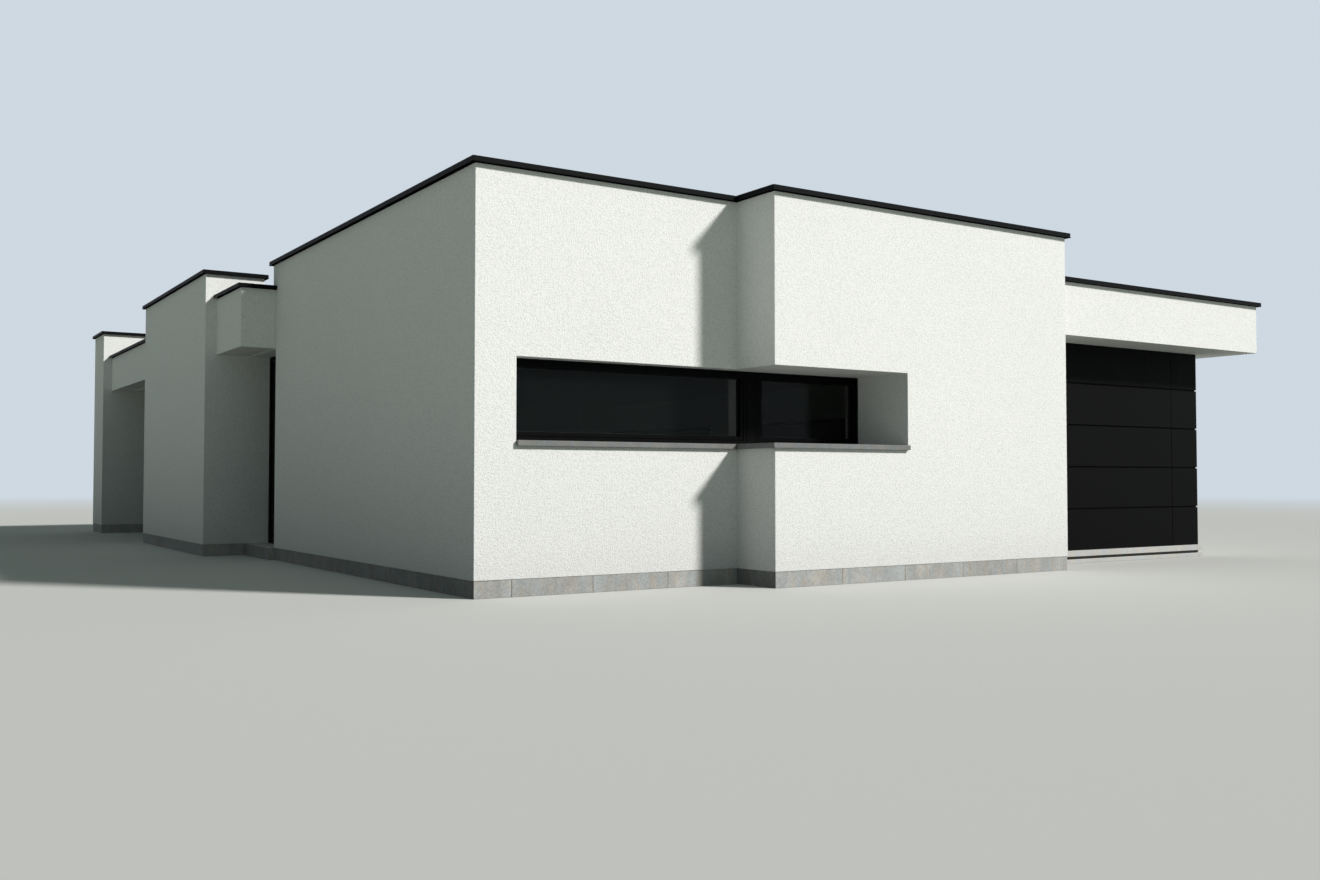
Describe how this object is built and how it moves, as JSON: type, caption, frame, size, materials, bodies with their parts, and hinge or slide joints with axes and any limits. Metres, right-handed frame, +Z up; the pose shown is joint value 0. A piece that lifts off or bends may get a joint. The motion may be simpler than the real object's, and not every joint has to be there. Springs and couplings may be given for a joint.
{
  "type": "detached house",
  "caption": "Low detached modern house of white rendered cubes with black copings, a notched bay with a slot window, entrance and terrace recesses and a garage with a dark sectional door.",
  "frame": {"origin": "on the ground, under the middle of the house's overall box", "axes": "+X to the right along the front with the slot window, +Y from the front to the back, +Z up"},
  "size_m": [11.43, 16.675, 3.71],
  "materials": {
    "white_render": "fine-grained white render on masonry, matt",
    "plinth_stone": "sawn grey limestone slabs, honed, with slight differences between slabs",
    "sill_stone": "sawn speckled grey stone",
    "concrete_floor": "smooth grey floor screed",
    "concrete_slab": "pale plastered concrete",
    "roof_membrane": "dark grey roofing membrane with lapped seams",
    "coping_metal": "anthracite powder-coated aluminium, satin",
    "frame_metal": "black powder-coated aluminium, satin",
    "door_panel": "black powder-coated aluminium sheet, matt",
    "garage_panel": "anthracite powder-coated steel sheet, satin",
    "window_glass": "clear double glazing, dark because the rooms behind are dark",
    "handle_steel": "brushed stainless steel"
  },
  "bodies": {
    "house": {"floor_slabs": "concrete_floor", "plinth": "plinth_stone", "front_wall": "white_render", "bay_front_wall": "white_render", "bay_side_wall": "white_render", "bay_soffit_slab": "white_render", "bay_ledge_slab": "white_render", "bay_cheek_wall": "white_render", "garage_side_wall": "white_render", "left_wall": "white_render", "entrance_step": "plinth_stone", "entrance_canopy": "white_render", "west_box_wall": "white_render", "end_box_wall": "white_render", "box_return_walls": "white_render", "box_upstands": "white_render", "terrace_lintel": "white_render", "north_wall": "white_render", "east_wall": "white_render", "garage_pier": "white_render", "garage_canopy": "white_render", "upper_walls": "white_render", "front_roof_slab": "concrete_slab", "rear_roof_slab": "concrete_slab", "garage_roof_slab": "concrete_slab", "roof_membranes": "roof_membrane", "front_block_coping": "coping_metal", "box_copings": "coping_metal", "entrance_coping": "coping_metal", "terrace_coping": "coping_metal", "low_wall_copings": "coping_metal", "front_window_frame": "frame_metal", "front_window_glass": "window_glass", "window_sills": "sill_stone", "garage_door": "garage_panel", "garage_cladding": "garage_panel", "garage_threshold": "sill_stone", "entrance_door_frame": "frame_metal", "terrace_window_frame": "frame_metal", "terrace_window_glass": "window_glass", "rear_window_frames": "frame_metal", "rear_window_glass": "window_glass"},
    "entrance_door": {"entrance_door_leaf": "door_panel", "entrance_door_handle": "handle_steel"}
  },
  "joints": [
    {"name": "entrance_door_hinge", "type": "hinge", "parent": "house", "child": "entrance_door", "pos_m": [-4.75, -0.707, 0.15], "axis": [0, 0, 1], "range_deg": [0, 90]}
  ]
}
